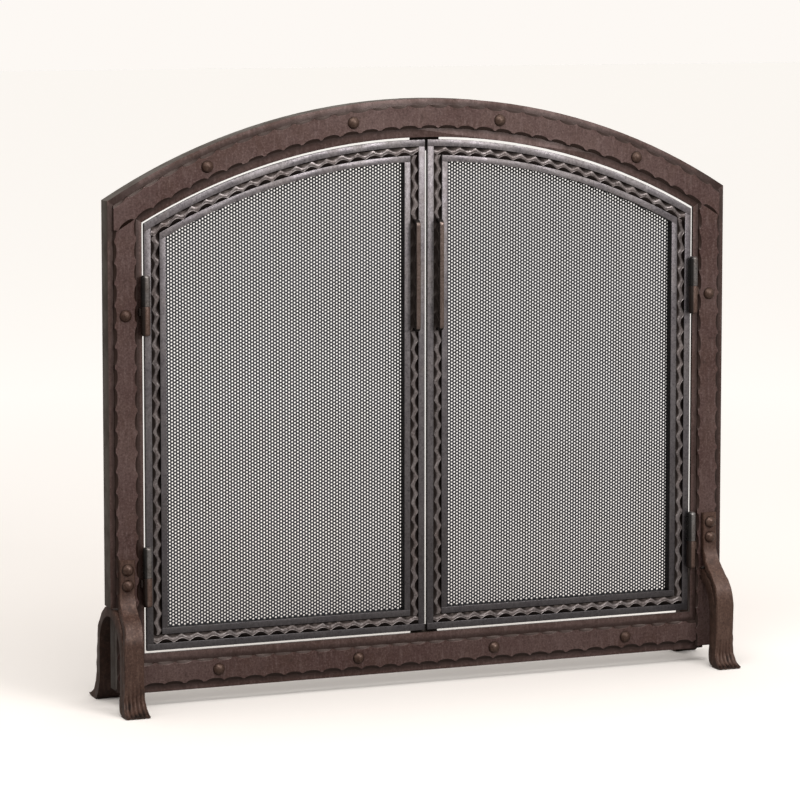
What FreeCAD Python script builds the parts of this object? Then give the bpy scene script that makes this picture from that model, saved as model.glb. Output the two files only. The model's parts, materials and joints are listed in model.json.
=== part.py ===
import FreeCAD, Part
import math
import os

# Arched wrought-iron fireplace screen with two hinged, perforated-sheet doors.
# Millimetres, +Z up, X to the right, Y towards the hearth (the front faces -Y).
# Origin: on the floor, midway between the feet and midway between the toe tips.

V = FreeCAD.Vector

# ---- overall sizes
WIDTH = 965.0            # outside of one upright to outside of the other
HEIGHT = 863.0           # floor to the crown of the arch
GROUND_CLEARANCE = 21.0  # floor to the underside of the bottom rail
ARCH_RADIUS = 915.0      # outside of the arch

# ---- angle-iron frame
FLANGE = 5.0             # thickness of the face flange and of the return
FRAME_DEPTH = 30.0       # front face to the back edge of the return
RAIL_HEIGHT = 56.5
ARCH_BAND = 56.0         # height of the arch face at the crown
OPENING_RADIUS = 886.0   # inner edge of the arch face
RAIL_LUG_HEIGHT = 8.0    # lower edge of the rail, running on under the uprights
RAIL_LUG_LENGTH = 22.0

# ---- hammered straps riveted to the frame
STRAP = 4.0
STRAP_MARGIN = 8.0       # outer edge of the frame to the strap
STRAP_INSET = 9.0        # strap to the opening
ARCH_STRAP_MARGIN = 9.5
STRAP_FOOT = 4.0         # the upright straps start this far above the frame's underside
BOTTOM_STRAP_RISE = 10.5 # underside of the rail to the bottom strap

# ---- rivets
RIVET_HEAD_RADIUS = 9.0
RIVET_HEAD_HEIGHT = 6.8
RIVET_SHANK_RADIUS = 3.0
RIVET_CLEARANCE = 0.1
ARCH_RIVET_PITCH = 14.8  # degrees round the arch
BOTTOM_RIVET_PITCH = 215.0
SIDE_RIVET_DROP = 131.0  # corner of the opening down to the rivet of an upright
TAB_RIVET_PITCH = 22.8
TAB_RIVET_DROP = 14.0    # top of a leg tab to its upper rivet

# ---- legs
LEG_WIDTH = 30.0
STRAP_WIDTH = LEG_WIDTH + 3.0
UPRIGHT_WIDTH = STRAP_MARGIN + STRAP_WIDTH + STRAP_INSET
TAB_WIDTH = 24.0
TAB_SET_OUT = 2.0        # middle of the strap to the middle of a tab
LEG_STEP_OUT = 4.5       # the shin and the yoke stand further out than the tab
TOE_WIDTH = 36.0
TOE_FLARE_HEIGHT = 34.0  # the bars widen below this height
TOE_THICKNESS = 5.5
LEG_STRAP = 7.0
TAB_LENGTH = 46.0
FRONT_TOE_SWEEP = 19.0
REAR_TOE_SWEEP = 24.5
YOKE_TOP = 146.0
YOKE_OUTER_RADIUS = 66.0
YOKE_INNER_RADIUS = 50.5
YOKE_CROWN = 14.5
YOKE_SET_BACK = 17.5     # front face of the frame to the middle of the yoke
LEG_STEP = YOKE_OUTER_RADIUS - YOKE_SET_BACK - STRAP  # how far a front bar steps forward
TAB_RISE = {"left": 0.54 * LEG_STEP, "right": 0.85 * LEG_STEP}  # yoke crown to a tab's foot
SHIN_RISE = 0.4 * LEG_STEP  # springing of the yoke to the top of the upright shin
REAR_LIMB_SPREAD = 6.0   # the rear limb leans out by this much at the ankle
ANKLE_HEIGHT = 25.0
NOTCH_CLEARANCE = 0.3

# ---- corner posts inside the yokes
POST_THICKNESS = 5.0
POST_LIFT = 5.0          # underside of the rail to the foot of the post

# ---- doors
DOOR_GAP = 3.6           # between a door and the opening
MEETING_GAP = 4.1        # between the two doors
OUTER_BAR = 9.8
CHANNEL = 12.9
INNER_BAR = 9.1
OUTER_BAR_DEPTH = 4.0
CHANNEL_PLATE = 3.0
INNER_BAR_DEPTH = 15.0
TWIST_CLEARANCE = 0.3    # each side of a twisted bar in its channel
TWIST_DEPTH = 4.0
MESH_SHEET = 1.0
MESH_MARGIN = 0.8        # outer edge of the inner bars to the edge of the sheet

# ---- hinges
HINGE_INSET = 2.7        # inner edge of the upright to the hinge axis
BARREL_GAP = 0.7         # front face to the back of a barrel
BARREL_RADIUS = 6.8
BARREL_DOME = 4.0
PIN_RADIUS = 3.5
PIN_CLEARANCE = 0.05
PIN_LENGTH = 46.0
PIN_SEAT = 20.0          # length of the pin inside the frame half
BORE_SPARE = 2.0
HINGE_PLAY = 0.5         # between the two halves of a barrel
LOWER_BARREL = 42.0
UPPER_BARREL = 44.5
LOWER_HINGE_RISE = 110.5 # foot of the opening up to the joint of the lower hinges
UPPER_HINGE_DROP = 118.4 # corner of the opening down to the joint of the upper hinges
ARM_HEIGHT = 10.0
ARM_DROP = 3.0
ARM_REACH = 6.5
LEAF_REACH = 4.5
LEAF_THICKNESS = 3.0
LEAF_MARGIN = 6.0

# ---- handles
HANDLE_LENGTH = 163.5
HANDLE_DROP = 119.0      # crown of the opening down to the top of a handle
HANDLE_WIDTH = 6.5
HANDLE_THICKNESS = 5.0
HANDLE_PROJECTION = 17.0
HANDLE_BEND = 9.0        # outer radius of the bends

# ---- door stops
TOP_STOP_WIDTH = 45.0
BOTTOM_STOP_WIDTH = 42.0
TOP_STOP_HANG = 20.0     # below the crown of the opening
BOTTOM_STOP_RISE = 10.5  # above the bottom rail
STOP_LAP = 16.0          # on the back of the frame
STOP_THICKNESS = 3.0
STOP_CLEARANCE = 0.5

# ---- places worked out from the sizes above
HALF = WIDTH / 2
DEPTH = FRONT_TOE_SWEEP + LEG_STRAP + 2 * YOKE_OUTER_RADIUS + REAR_LIMB_SPREAD + REAR_TOE_SWEEP
YOKE_Y = -DEPTH / 2 + FRONT_TOE_SWEEP + LEG_STRAP + YOKE_OUTER_RADIUS
FACE_Y = YOKE_Y - YOKE_SET_BACK
BACK_Y = FACE_Y + FRAME_DEPTH
FLANGE_Y = FACE_Y + FLANGE
STRAP_Y = FACE_Y - STRAP
OPENING_X = HALF - UPRIGHT_WIDTH
OPENING_BOTTOM = GROUND_CLEARANCE + RAIL_HEIGHT
OPENING_TOP = HEIGHT - ARCH_BAND
ARCH_CENTRE_Z = HEIGHT - ARCH_RADIUS
OPENING_CENTRE_Z = OPENING_TOP - OPENING_RADIUS
OPENING_CORNER_Z = OPENING_CENTRE_Z + math.sqrt(OPENING_RADIUS ** 2 - OPENING_X ** 2)
STRAP_OUTER_X = HALF - STRAP_MARGIN
STRAP_INNER_X = STRAP_OUTER_X - STRAP_WIDTH
STRAP_MID_X = STRAP_OUTER_X - STRAP_WIDTH / 2
ARCH_STRAP_OUTER = ARCH_RADIUS - ARCH_STRAP_MARGIN
ARCH_STRAP_INNER = ARCH_STRAP_OUTER - STRAP_WIDTH
BOTTOM_STRAP_Z = GROUND_CLEARANCE + BOTTOM_STRAP_RISE
DOOR_INNER_X = MEETING_GAP / 2
DOOR_OUTER_X = OPENING_X - DOOR_GAP
DOOR_BOTTOM = OPENING_BOTTOM + DOOR_GAP
DOOR_RADIUS = OPENING_RADIUS - DOOR_GAP
HINGE_X = OPENING_X - HINGE_INSET
HINGE_Y = FACE_Y - BARREL_GAP - BARREL_RADIUS
HINGE_Z = {"lower": OPENING_BOTTOM + LOWER_HINGE_RISE, "upper": OPENING_CORNER_Z - UPPER_HINGE_DROP}
DOOR_EDGE_Y = FACE_Y + OUTER_BAR_DEPTH + CHANNEL_PLATE
TAB_X = STRAP_MID_X + TAB_SET_OUT
LEG_X = TAB_X + LEG_STEP_OUT
LEG_INNER_X = LEG_X - LEG_WIDTH / 2
YOKE_OUTER_Z = YOKE_TOP - YOKE_OUTER_RADIUS
YOKE_INNER_Z = YOKE_TOP - YOKE_CROWN - YOKE_INNER_RADIUS
SHIN_TOP = YOKE_OUTER_Z + SHIN_RISE
TAB_TOP = {side: YOKE_TOP + rise + TAB_LENGTH for side, rise in TAB_RISE.items()}
BIG = 2 * (WIDTH + HEIGHT)


def box(x0, x1, y0, y1, z0, z1):
    return Part.makeBox(x1 - x0, y1 - y0, z1 - z0, V(x0, y0, z0))


def rod_y(radius, x, z, y0, y1):
    """A cylinder along Y."""
    return Part.makeCylinder(radius, y1 - y0, V(x, y0, z), V(0, 1, 0))


def rod_z(radius, x, y, z0, z1):
    """A cylinder along Z."""
    return Part.makeCylinder(radius, z1 - z0, V(x, y, z0), V(0, 0, 1))


def under_arc(half_width, bottom, radius, centre_z, y0, y1):
    """A slab with straight sides and foot under a segmental arch."""
    springing = centre_z + math.sqrt(radius ** 2 - half_width ** 2)
    a = V(-half_width, y0, bottom)
    b = V(half_width, y0, bottom)
    c = V(half_width, y0, springing)
    d = V(-half_width, y0, springing)
    crown = V(0, y0, centre_z + radius)
    edges = [Part.makeLine(a, b), Part.makeLine(b, c), Part.Arc(c, crown, d).toShape(), Part.makeLine(d, a)]
    return Part.Face(Part.Wire(edges)).extrude(V(0, y1 - y0, 0))


def mirrored(shape):
    return shape.mirror(V(0, 0, 0), V(1, 0, 0))


def on_side(shape, side):
    """Everything one-sided is drawn on the right and mirrored for the left."""
    return shape if side == "right" else mirrored(shape)


def cut_all(shape, tools):
    for tool in tools:
        shape = shape.cut(tool)
    return shape


def profile_slab(segments, x0, x1):
    """Extrude a closed outline in the YZ plane; three-point segments are arcs."""
    edges = []
    for points in segments:
        at = [V(x0, y, z) for y, z in points]
        edges.append(Part.makeLine(at[0], at[1]) if len(at) == 2 else Part.Arc(*at).toShape())
    return Part.Face(Part.Wire(edges)).extrude(V(x1 - x0, 0, 0))


def front_slab(points, y0, y1):
    """Extrude a closed straight-sided outline in the XZ plane."""
    at = [V(x, y0, z) for x, z in points]
    return Part.Face(Part.makePolygon(at + at[:1])).extrude(V(0, y1 - y0, 0))


# ---- rivets and their holes
def arch_rivet_places():
    radius = (ARCH_STRAP_OUTER + ARCH_STRAP_INNER) / 2
    angles = [math.radians(step * ARCH_RIVET_PITCH) for step in (-1.5, -0.5, 0.5, 1.5)]
    return [(radius * math.sin(a), ARCH_CENTRE_Z + radius * math.cos(a)) for a in angles]


def bottom_rivet_places():
    z = BOTTOM_STRAP_Z + STRAP_WIDTH / 2
    return [(step * BOTTOM_RIVET_PITCH, z) for step in (-1.5, -0.5, 0.5, 1.5)]


def side_rivet_places():
    return [(side * STRAP_MID_X, OPENING_CORNER_Z - SIDE_RIVET_DROP) for side in (-1, 1)]


def leg_rivet_places():
    places = []
    for side, sign in (("left", -1), ("right", 1)):
        top = TAB_TOP[side] - TAB_RIVET_DROP
        places += [(sign * TAB_X, top), (sign * TAB_X, top - TAB_RIVET_PITCH)]
    return places


def rivet(x, z, seat_y):
    """A round-head rivet: a cap of a sphere on a shank that ends flush behind the flange."""
    ball = (RIVET_HEAD_RADIUS ** 2 + RIVET_HEAD_HEIGHT ** 2) / (2 * RIVET_HEAD_HEIGHT)
    sphere = Part.makeSphere(ball, V(x, seat_y - RIVET_HEAD_HEIGHT + ball, z))
    head = sphere.common(box(x - ball, x + ball, seat_y - BIG, seat_y, z - ball, z + ball))
    return head.fuse(rod_y(RIVET_SHANK_RADIUS, x, z, seat_y, FLANGE_Y)).removeSplitter()


def rivet_group(places, seat_y):
    return Part.makeCompound([rivet(x, z, seat_y) for x, z in places])


def rivet_holes(places):
    radius = RIVET_SHANK_RADIUS + RIVET_CLEARANCE
    return [rod_y(radius, x, z, STRAP_Y - LEG_STRAP - 1, FLANGE_Y + 1) for x, z in places]


# ---- the frame
def frame_outline(y0, y1, inset=0.0):
    return under_arc(HALF - inset, GROUND_CLEARANCE + inset, ARCH_RADIUS - inset, ARCH_CENTRE_Z, y0, y1)


def opening(y0, y1):
    return under_arc(OPENING_X, OPENING_BOTTOM, OPENING_RADIUS, OPENING_CENTRE_Z, y0, y1)


def yoke_notches():
    """Where a yoke crosses the frame, open towards the outside."""
    reach = YOKE_Y - STRAP_Y
    low = YOKE_INNER_Z + math.sqrt(YOKE_INNER_RADIUS ** 2 - reach ** 2) - NOTCH_CLEARANCE
    high = YOKE_TOP + NOTCH_CLEARANCE
    notch = box(LEG_INNER_X, HALF + 1, STRAP_Y - 1, BACK_Y + 1, low, high)
    lip = box(STRAP_OUTER_X, HALF + 1, STRAP_Y - 1, BACK_Y + 1, 0, high)
    both = notch.fuse(lip)
    return [both, mirrored(both)]


def frame_members():
    face = frame_outline(FACE_Y, FLANGE_Y).cut(opening(FACE_Y - 1, FLANGE_Y + 1))
    back = frame_outline(FLANGE_Y, BACK_Y).cut(frame_outline(FLANGE_Y - 1, BACK_Y + 1, FLANGE))
    ring = face.fuse(back)
    springing = ARCH_CENTRE_Z + math.sqrt(ARCH_RADIUS ** 2 - HALF ** 2)
    joint = [(0, OPENING_CORNER_Z), (OPENING_X, OPENING_CORNER_Z), (HALF, springing), (BIG, springing),
             (BIG, BIG), (0, BIG)]
    mitre = front_slab(joint, FACE_Y - 1, BACK_Y + 1)
    above = mitre.fuse(mirrored(mitre))
    arch = ring.common(above)
    rest = ring.cut(above)
    lug_x = OPENING_X + RAIL_LUG_LENGTH
    lug_z = GROUND_CLEARANCE + RAIL_LUG_HEIGHT
    rail_zone = box(-OPENING_X, OPENING_X, FACE_Y - 1, BACK_Y + 1, 0, OPENING_BOTTOM)
    lug_zone = box(-lug_x, lug_x, FACE_Y - 1, BACK_Y + 1, 0, lug_z)
    rail = rest.common(rail_zone.fuse(lug_zone))
    upright_zone = box(OPENING_X, HALF + 1, FACE_Y - 1, BACK_Y + 1, lug_z, HEIGHT)
    upright = rest.common(upright_zone)
    return {"arch_rail": arch, "bottom_rail": rail, "right_upright": upright,
            "left_upright": mirrored(upright)}


def strap_members():
    outer = under_arc(STRAP_OUTER_X, GROUND_CLEARANCE, ARCH_STRAP_OUTER, ARCH_CENTRE_Z, STRAP_Y, FACE_Y)
    under = rod_y(ARCH_STRAP_INNER, 0, ARCH_CENTRE_Z, STRAP_Y - 1, FACE_Y + 1)
    corner = ARCH_CENTRE_Z + math.sqrt(ARCH_STRAP_INNER ** 2 - STRAP_OUTER_X ** 2)
    crown = box(-HALF, HALF, STRAP_Y, FACE_Y, corner, HEIGHT)
    arch = outer.common(crown).cut(under)
    low = GROUND_CLEARANCE + STRAP_FOOT
    side = box(STRAP_INNER_X, STRAP_OUTER_X, STRAP_Y, FACE_Y, low, HEIGHT).common(under)
    bottom = box(-STRAP_INNER_X, STRAP_INNER_X, STRAP_Y, FACE_Y, BOTTOM_STRAP_Z, BOTTOM_STRAP_Z + STRAP_WIDTH)
    return {"arch_strap": arch, "bottom_strap": bottom, "right_strap": side, "left_strap": mirrored(side)}


def corner_post():
    """A flat bar on edge behind the upright, seen through the yoke."""
    low = GROUND_CLEARANCE + POST_LIFT
    bar = box(STRAP_OUTER_X - POST_THICKNESS, STRAP_OUTER_X, FLANGE_Y, BACK_Y, low, YOKE_TOP - YOKE_CROWN)
    return bar.cut(yoke())


# ---- the legs
def leg_outline(upper):
    """Front outline of a leg bar: a flared toe, a parallel shin, then whatever stands above it."""
    half = LEG_WIDTH / 2
    toe = TOE_WIDTH / 2
    stations = [(LEG_X, toe, 0), (LEG_X, toe, TOE_THICKNESS), (LEG_X, half, TOE_FLARE_HEIGHT),
                (LEG_X, half, SHIN_TOP)] + upper
    outline = [(x + across, z) for x, across, z in stations]
    outline += [(x - across, z) for x, across, z in reversed(stations)]
    return front_slab(outline, -DEPTH, DEPTH)


def s_bend(y_top, z_top, y_low, z_low, offset):
    """One edge of a bar that steps forward in two equal bends, from its top down."""
    step = y_top - y_low
    drop = z_top - z_low
    radius = (step ** 2 + drop ** 2) / (4 * step)
    turn = math.asin(drop / 2 / radius)

    def upper(a):
        return (y_top - radius + (radius + offset) * math.cos(a), z_top - (radius + offset) * math.sin(a))

    def lower(a):
        return (y_low + radius - (radius - offset) * math.cos(a), z_low + (radius - offset) * math.sin(a))

    return [upper(0), upper(turn / 2), upper(turn)], [lower(turn), lower(turn / 2), lower(0)]


def front_leg(side):
    """The front bar of a leg: tab, forward bend, shin and swept toe."""
    half = LEG_STRAP / 2
    top = TAB_TOP[side]
    tab_y = STRAP_Y - half
    shin_y = YOKE_Y - YOKE_OUTER_RADIUS - half
    back_upper, back_lower = s_bend(tab_y, top - TAB_LENGTH, shin_y, SHIN_TOP, half)
    front_upper, front_lower = s_bend(tab_y, top - TAB_LENGTH, shin_y, SHIN_TOP, -half)
    shin_front = shin_y - half
    sweep = FRONT_TOE_SWEEP
    toe_y = shin_front - sweep
    ankle = TOE_THICKNESS + sweep
    bend = (toe_y + sweep * math.sin(math.pi / 4), ankle - sweep * math.sin(math.pi / 4))
    segments = [
        [(tab_y + half, top), back_upper[0]], back_upper, back_lower,
        [back_lower[2], (shin_y + half, 0)], [(shin_y + half, 0), (toe_y, 0)],
        [(toe_y, 0), (toe_y, TOE_THICKNESS)], [(toe_y, TOE_THICKNESS), bend, (shin_front, ankle)],
        [(shin_front, ankle), front_lower[2]], front_lower[::-1], front_upper[::-1],
        [front_upper[0], (tab_y - half, top)], [(tab_y - half, top), (tab_y + half, top)]]
    slab = profile_slab(segments, LEG_X - TOE_WIDTH / 2, LEG_X + TOE_WIDTH / 2)
    tab = TAB_WIDTH / 2
    return slab.common(leg_outline([(TAB_X, tab, top - TAB_LENGTH), (TAB_X, tab, top)]))


def yoke():
    """The bent bar that straddles the frame; its front foot backs the front bar, its rear foot is a toe."""
    inner_r = YOKE_INNER_RADIUS
    outer_r = YOKE_OUTER_RADIUS
    heel = inner_r + (outer_r - inner_r) * 0.9
    slant = math.sqrt(0.5)
    ankle_y = outer_r + REAR_LIMB_SPREAD
    sweep = REAR_TOE_SWEEP
    toe_y = ankle_y + sweep
    toe_bend = (toe_y - sweep * slant, TOE_THICKNESS + sweep * (1 - slant))
    ankle_z = TOE_THICKNESS + sweep
    heel_z = ANKLE_HEIGHT

    def front_heel(a):
        return (-heel + (heel - inner_r) * math.cos(a), heel_z - (heel_z - TOE_THICKNESS / 2) * math.sin(a))

    def rear_heel(a):
        return (heel - (heel - inner_r) * math.cos(a), heel_z - heel_z * math.sin(a))

    foot_z = front_heel(math.pi / 2)[1]
    around = [
        [(-outer_r, foot_z), (-outer_r, YOKE_OUTER_Z)],
        [(-outer_r, YOKE_OUTER_Z), (0, YOKE_TOP), (outer_r, YOKE_OUTER_Z)],
        [(outer_r, YOKE_OUTER_Z), (ankle_y, ankle_z)],
        [(ankle_y, ankle_z), toe_bend, (toe_y, TOE_THICKNESS)],
        [(toe_y, TOE_THICKNESS), (toe_y, 0)],
        [(toe_y, 0), (heel, 0)],
        [(heel, 0), rear_heel(math.pi / 4), (inner_r, heel_z)],
        [(inner_r, heel_z), (inner_r, YOKE_INNER_Z)],
        [(inner_r, YOKE_INNER_Z), (0, YOKE_INNER_Z + inner_r), (-inner_r, YOKE_INNER_Z)],
        [(-inner_r, YOKE_INNER_Z), (-inner_r, heel_z)],
        [(-inner_r, heel_z), front_heel(math.pi / 4), front_heel(math.pi / 2)],
        [front_heel(math.pi / 2), (-outer_r, foot_z)]]
    segments = [[(YOKE_Y + y, z) for y, z in points] for points in around]
    slab = profile_slab(segments, LEG_X - TOE_WIDTH / 2, LEG_X + TOE_WIDTH / 2)
    return slab.common(leg_outline([(LEG_X, LEG_WIDTH / 2, YOKE_TOP + 1)]))


# ---- the doors
def door_outline(inset, y0, y1):
    """A door's outline, drawn in from its edge by the inset on every side."""
    radius = DOOR_RADIUS - inset
    whole = under_arc(DOOR_OUTER_X - inset, DOOR_BOTTOM + inset, radius, OPENING_CENTRE_Z, y0, y1)
    return whole.common(box(DOOR_INNER_X + inset, HALF, y0 - 1, y1 + 1, 0, HEIGHT))


def door_bars(outer, inner, y0, y1):
    """The four bars between two insets: the arch and foot run through, the stiles stand between them."""
    whole = door_outline(outer, y0, y1)
    ring = whole.cut(door_outline(inner, y0 - 1, y1 + 1))
    under = rod_y(DOOR_RADIUS - inner, 0, OPENING_CENTRE_Z, y0 - 1, y1 + 1)
    foot_zone = box(0, HALF, y0 - 1, y1 + 1, 0, DOOR_BOTTOM + inner)
    stiles = ring.common(under).cut(foot_zone)
    middle = (DOOR_INNER_X + DOOR_OUTER_X) / 2
    meeting_zone = box(0, middle, y0 - 1, y1 + 1, 0, HEIGHT)
    return {"arch": ring.cut(under), "foot": ring.common(foot_zone), "meeting": stiles.common(meeting_zone),
            "hinge": stiles.cut(meeting_zone)}


def door_frame():
    """Outer bars, channel plate, twisted bars and inner bars, from the edge of the door inwards."""
    plate_y = FACE_Y + OUTER_BAR_DEPTH
    channel_end = OUTER_BAR + CHANNEL
    pieces = {}
    outer = door_bars(0, OUTER_BAR, FACE_Y, plate_y)
    twist_start = OUTER_BAR + TWIST_CLEARANCE
    twist = door_bars(twist_start, channel_end - TWIST_CLEARANCE, plate_y - TWIST_DEPTH, plate_y)
    inner = door_bars(channel_end, channel_end + INNER_BAR, FACE_Y, FACE_Y + INNER_BAR_DEPTH)
    for place in ("arch", "foot", "meeting", "hinge"):
        pieces["outer_" + place + "_bar"] = outer[place]
        pieces["twisted_" + place + "_bar"] = twist[place]
        pieces["inner_" + place + "_bar"] = inner[place]
    plate = door_outline(0, plate_y, DOOR_EDGE_Y)
    pieces["channel_plate"] = plate.cut(door_outline(channel_end, plate_y - 1, DOOR_EDGE_Y + 1))
    return pieces


def mesh_sheet():
    """The perforated sheet, drawn as a plain sheet, fixed behind the inner bars."""
    y0 = FACE_Y + INNER_BAR_DEPTH
    return door_outline(OUTER_BAR + CHANNEL + MESH_MARGIN, y0, y0 + MESH_SHEET)


def handle():
    """A flat bow on the twisted bar of the meeting stile."""
    x = DOOR_INNER_X + OUTER_BAR + CHANNEL / 2
    x0 = x - HANDLE_WIDTH / 2
    x1 = x + HANDLE_WIDTH / 2
    back = FACE_Y + OUTER_BAR_DEPTH - TWIST_DEPTH
    front = FACE_Y - HANDLE_PROJECTION
    high = OPENING_TOP - HANDLE_DROP
    low = high - HANDLE_LENGTH
    bow = box(x0, x1, front, back, low, high)
    edges = [e for e in bow.Edges if e.BoundBox.XLength > HANDLE_WIDTH / 2 and e.BoundBox.YMax < back - 1]
    bow = bow.makeFillet(HANDLE_BEND, edges)
    t = HANDLE_THICKNESS
    gap = box(x0 - 1, x1 + 1, front + t, back + t, low + t, high - t)
    edges = [e for e in gap.Edges if e.BoundBox.XLength > HANDLE_WIDTH / 2 and e.BoundBox.YMax < back - 1]
    return bow.cut(gap.makeFillet(HANDLE_BEND - t, edges))


# ---- the hinges
def domed_barrel(z0, z1, dome_up):
    """A barrel with one softly rounded end."""
    barrel = rod_z(BARREL_RADIUS, HINGE_X, HINGE_Y, z0, z1)
    level = z1 if dome_up else z0
    rim = [e for e in barrel.Edges if e.BoundBox.ZLength < 0.01 and abs(e.BoundBox.ZMin - level) < 0.01]
    return barrel.makeFillet(BARREL_DOME, rim)


def frame_hinge(joint_z):
    """Lower half: a barrel that holds the pin, on an arm welded to the upright."""
    barrel = domed_barrel(joint_z - LOWER_BARREL, joint_z, False)
    arm_top = joint_z - ARM_DROP
    arm = box(HINGE_X, OPENING_X + ARM_REACH, HINGE_Y, FACE_Y, arm_top - ARM_HEIGHT, arm_top)
    socket = rod_z(PIN_RADIUS, HINGE_X, HINGE_Y, joint_z - PIN_SEAT, joint_z + 1)
    return barrel.fuse(arm).cut(socket).removeSplitter()


def door_hinge(joint_z):
    """Upper half: a barrel with a blind bore, on a leaf welded to the door's hinge stile."""
    low = joint_z + HINGE_PLAY
    high = joint_z + UPPER_BARREL
    barrel = domed_barrel(low, high, True)
    leaf = box(DOOR_OUTER_X - LEAF_REACH, HINGE_X, FACE_Y - LEAF_THICKNESS, FACE_Y, low + LEAF_MARGIN,
               high - LEAF_MARGIN)
    bore_top = joint_z + PIN_LENGTH - PIN_SEAT + BORE_SPARE
    bore = rod_z(PIN_RADIUS + PIN_CLEARANCE, HINGE_X, HINGE_Y, low - 1, bore_top)
    return barrel.fuse(leaf).cut(bore).removeSplitter()


def hinge_pin(joint_z):
    low = joint_z - PIN_SEAT
    return rod_z(PIN_RADIUS, HINGE_X, HINGE_Y, low, low + PIN_LENGTH)


# ---- the door stops
def door_stop(width, tip_z, lap_z, edge_z):
    """A stepped plate on the back of the frame that the closed doors rest against."""
    front = DOOR_EDGE_Y + STOP_CLEARANCE
    back = front + STOP_THICKNESS
    plate = box(-width / 2, width / 2, front, back, min(tip_z, lap_z), max(tip_z, lap_z))
    pad = box(-width / 2, width / 2, FLANGE_Y, front, min(edge_z, lap_z), max(edge_z, lap_z))
    return plate.fuse(pad).removeSplitter()


def main():
    nodes = dict(frame_members())
    nodes.update(strap_members())
    strap_rivets = arch_rivet_places() + bottom_rivet_places() + side_rivet_places()
    holes = rivet_holes(strap_rivets + leg_rivet_places())
    for name in list(nodes):
        nodes[name] = cut_all(nodes[name], holes + yoke_notches())

    nodes["arch_rivets"] = rivet_group(arch_rivet_places(), STRAP_Y)
    nodes["bottom_rivets"] = rivet_group(bottom_rivet_places(), STRAP_Y)
    nodes["side_rivets"] = rivet_group(side_rivet_places(), STRAP_Y)
    nodes["leg_rivets"] = rivet_group(leg_rivet_places(), STRAP_Y - LEG_STRAP)

    top_edge = OPENING_CENTRE_Z + math.sqrt(OPENING_RADIUS ** 2 - (TOP_STOP_WIDTH / 2) ** 2)
    top_tip = OPENING_TOP - TOP_STOP_HANG
    nodes["top_door_stop"] = door_stop(TOP_STOP_WIDTH, top_tip, OPENING_TOP + STOP_LAP, top_edge)
    bottom_tip = OPENING_BOTTOM + BOTTOM_STOP_RISE
    bottom_lap = OPENING_BOTTOM - STOP_LAP
    nodes["bottom_door_stop"] = door_stop(BOTTOM_STOP_WIDTH, bottom_tip, bottom_lap, OPENING_BOTTOM)

    pins = []
    for side in ("left", "right"):
        nodes[side + "_leg_yoke"] = on_side(yoke(), side)
        nodes[side + "_front_leg"] = cut_all(on_side(front_leg(side), side), holes)
        nodes[side + "_corner_post"] = on_side(corner_post(), side)
        for name, shape in door_frame().items():
            nodes[side + "_" + name] = on_side(shape, side)
        nodes[side + "_mesh"] = on_side(mesh_sheet(), side)
        nodes[side + "_handle"] = on_side(handle(), side)
        for level, joint_z in HINGE_Z.items():
            nodes[side + "_" + level + "_frame_hinge"] = on_side(frame_hinge(joint_z), side)
            pins.append(on_side(hinge_pin(joint_z), side))
        door_halves = [on_side(door_hinge(joint_z), side) for joint_z in HINGE_Z.values()]
        nodes[side + "_door_hinges"] = Part.makeCompound(door_halves)
    nodes["hinge_pins"] = Part.makeCompound(pins)

    os.makedirs("parts", exist_ok=True)
    for name, shape in nodes.items():
        shape.exportStep("parts/" + name + ".step")
        print(name, len(shape.Solids), shape.isValid(), round(shape.Volume / 1000, 1))
    print(len(nodes), "nodes")


main()
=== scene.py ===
import json
import math
import random

import bmesh
import bpy
import numpy as np
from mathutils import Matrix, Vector, noise


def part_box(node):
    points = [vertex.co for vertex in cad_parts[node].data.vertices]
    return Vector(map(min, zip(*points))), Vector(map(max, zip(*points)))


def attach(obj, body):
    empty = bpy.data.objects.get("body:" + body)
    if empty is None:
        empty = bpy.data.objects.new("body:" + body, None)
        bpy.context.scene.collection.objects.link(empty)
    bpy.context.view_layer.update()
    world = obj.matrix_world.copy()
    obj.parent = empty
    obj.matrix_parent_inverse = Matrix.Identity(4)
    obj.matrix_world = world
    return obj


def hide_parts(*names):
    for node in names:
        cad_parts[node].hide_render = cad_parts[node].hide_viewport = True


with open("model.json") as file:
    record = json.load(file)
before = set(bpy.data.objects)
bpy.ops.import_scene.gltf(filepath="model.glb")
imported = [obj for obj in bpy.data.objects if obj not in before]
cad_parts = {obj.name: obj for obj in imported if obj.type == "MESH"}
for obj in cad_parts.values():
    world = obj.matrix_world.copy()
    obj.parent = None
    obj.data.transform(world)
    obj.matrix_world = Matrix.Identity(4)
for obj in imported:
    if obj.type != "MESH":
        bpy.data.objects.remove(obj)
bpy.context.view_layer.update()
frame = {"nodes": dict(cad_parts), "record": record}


# ---- Camera.
# Standing well to the left of the screen and above its crown, with a long lens and tilted a little down; a
# small shift keeps the uprights nearly upright.
camera_data = bpy.data.cameras.new("camera")
camera_data.sensor_width = 36.0
camera_data.lens = 151.59
camera_data.shift_x = -0.001
camera_data.shift_y = -0.12
camera_data.clip_end = 40.0
tilt_down = 5.646
turned_right = 21.583
camera = bpy.data.objects.new("camera", camera_data)
camera.location = (-1.8337, -4.5544, 1.0469)
camera.rotation_euler = (math.radians(90.0 - tilt_down), 0.0, math.radians(-turned_right))
bpy.context.scene.collection.objects.link(camera)
bpy.context.scene.camera = camera


# ---- Studio.
# A plain pale floor under a pale surround, with two large soft lamps: a key lamp high over the front of the
# screen, and a sheen lamp further off to the right. The camera sees the floor and the surround near white, and
# the light they give is weaker.
def plain_mesh(name, verts, faces):
    mesh = bpy.data.meshes.new(name)
    mesh.from_pydata([tuple(v) for v in verts], [], [tuple(f) for f in faces])
    mesh.update()
    piece = bpy.data.objects.new(name, mesh)
    bpy.context.scene.collection.objects.link(piece)
    return piece


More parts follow.
